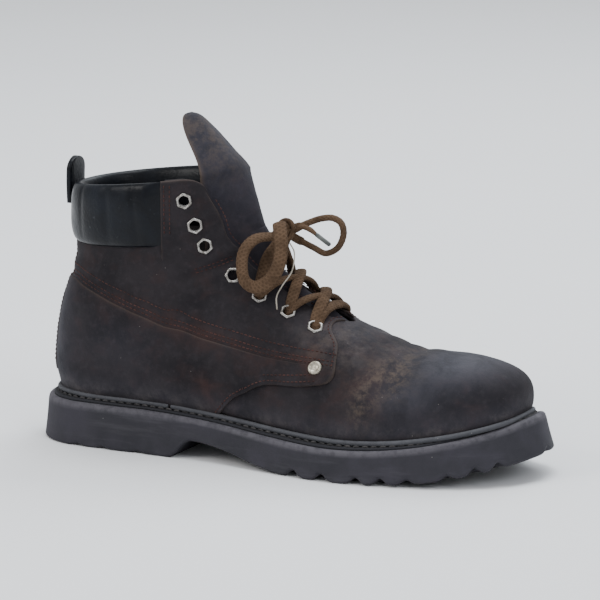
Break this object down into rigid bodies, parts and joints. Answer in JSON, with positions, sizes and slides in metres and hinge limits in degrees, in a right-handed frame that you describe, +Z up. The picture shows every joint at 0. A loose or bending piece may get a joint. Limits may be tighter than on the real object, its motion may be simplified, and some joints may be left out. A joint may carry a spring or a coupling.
{
  "type": "lace-up work boot",
  "caption": "Worn leather lace-up work boot for a right foot, with padded collar, standing tongue, storm welt and lugged rubber sole with heel.",
  "frame": {"origin": "on the floor, at the middle of the length and width of the sole", "axes": "+X from heel to toe, +Y to the wearer's inner side, +Z up"},
  "size_m": [0.3046, 0.1118, 0.1938],
  "materials": {
    "leather": "worn dark brown oiled nubuck with scuffs and dust",
    "collar_leather": "soft black smooth leather over foam",
    "rubber": "dusty grey-brown moulded rubber",
    "welt": "dark storm welt with a grey bead",
    "insole": "dark worn sock liner",
    "lace": "flat-oval braided brown lace",
    "thread": "frayed core thread",
    "metal": "worn nickel",
    "aglet": "scuffed tip"
  },
  "bodies": {
    "root": {"outsole": "rubber", "welt": "welt", "insole": "insole", "upper": "leather", "heel_counter": "leather", "collar": "collar_leather", "back_tab": "collar_leather", "tongue": "leather", "eyelet_outer_1": "metal", "eyelet_outer_2": "metal", "eyelet_outer_3": "metal", "eyelet_outer_4": "metal", "eyelet_outer_5": "metal", "eyelet_outer_6": "metal", "eyelet_outer_7": "metal", "eyelet_inner_1": "metal", "eyelet_inner_2": "metal", "eyelet_inner_3": "metal", "eyelet_inner_4": "metal", "eyelet_inner_5": "metal", "eyelet_inner_6": "metal", "eyelet_inner_7": "metal", "rivet_outer": "metal", "rivet_inner": "metal", "lace_crossings": "lace", "lace_knot": "lace", "lace_loop_near": "lace", "lace_loop_far": "lace", "lace_end": "lace", "lace_aglet": "aglet", "lace_thread": "thread"}
  },
  "joints": []
}
